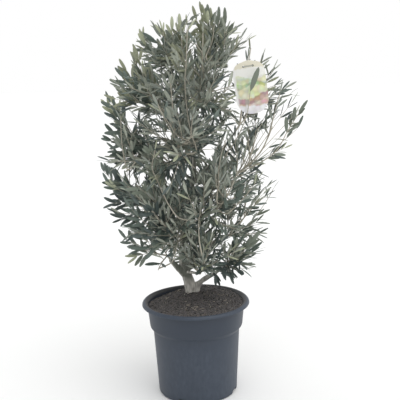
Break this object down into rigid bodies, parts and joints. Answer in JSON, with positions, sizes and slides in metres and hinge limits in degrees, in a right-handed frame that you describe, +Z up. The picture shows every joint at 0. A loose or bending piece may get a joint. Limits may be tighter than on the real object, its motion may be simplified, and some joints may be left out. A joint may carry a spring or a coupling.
{
  "type": "potted olive tree",
  "caption": "Young olive grown as a bush, with a short leaning trunk, upright boughs and open grey-green foliage, in a round plastic nursery pot filled with compost.",
  "frame": {"origin": "centre of the pot's flat underside", "axes": "+Z up along the pot's axis, +X to the right of the front view, +Y to the back"},
  "size_m": [0.6841, 0.5931, 1.2889],
  "materials": {
    "pot_plastic": "satin",
    "compost": "matte",
    "bark": "matte",
    "foliage": "satin",
    "label_plastic": "gloss"
  },
  "bodies": {
    "root": {"pot": "pot_plastic", "soil": "compost", "trunk": "bark", "bough_right_low": "bark", "bough_left_low": "bark", "bough_front_low": "bark", "bough_back_low": "bark", "bough_right_mid": "bark", "bough_left_mid": "bark", "bough_front_left": "bark", "bough_back_left": "bark", "bough_front_right": "bark", "bough_back_right": "bark", "bough_right_arch": "bark", "bough_right_high": "bark", "bough_left_upper": "bark", "bough_front_mid": "bark", "bough_back_mid": "bark", "bough_left_high": "bark", "bough_front_high": "bark", "bough_back_high": "bark", "bough_top_right": "bark", "foliage_right_low": "foliage", "foliage_left_low": "foliage", "foliage_front_low": "foliage", "foliage_back_low": "foliage", "foliage_right_mid": "foliage", "foliage_left_mid": "foliage", "foliage_front_left": "foliage", "foliage_back_left": "foliage", "foliage_front_right": "foliage", "foliage_back_right": "foliage", "foliage_right_arch": "foliage", "foliage_right_high": "foliage", "foliage_left_upper": "foliage", "foliage_front_mid": "foliage", "foliage_back_mid": "foliage", "foliage_left_high": "foliage", "foliage_front_high": "foliage", "foliage_back_high": "foliage", "foliage_top_right": "foliage", "foliage_top_left": "foliage", "label_card": "label_plastic", "label_tie": "label_plastic"}
  },
  "joints": []
}
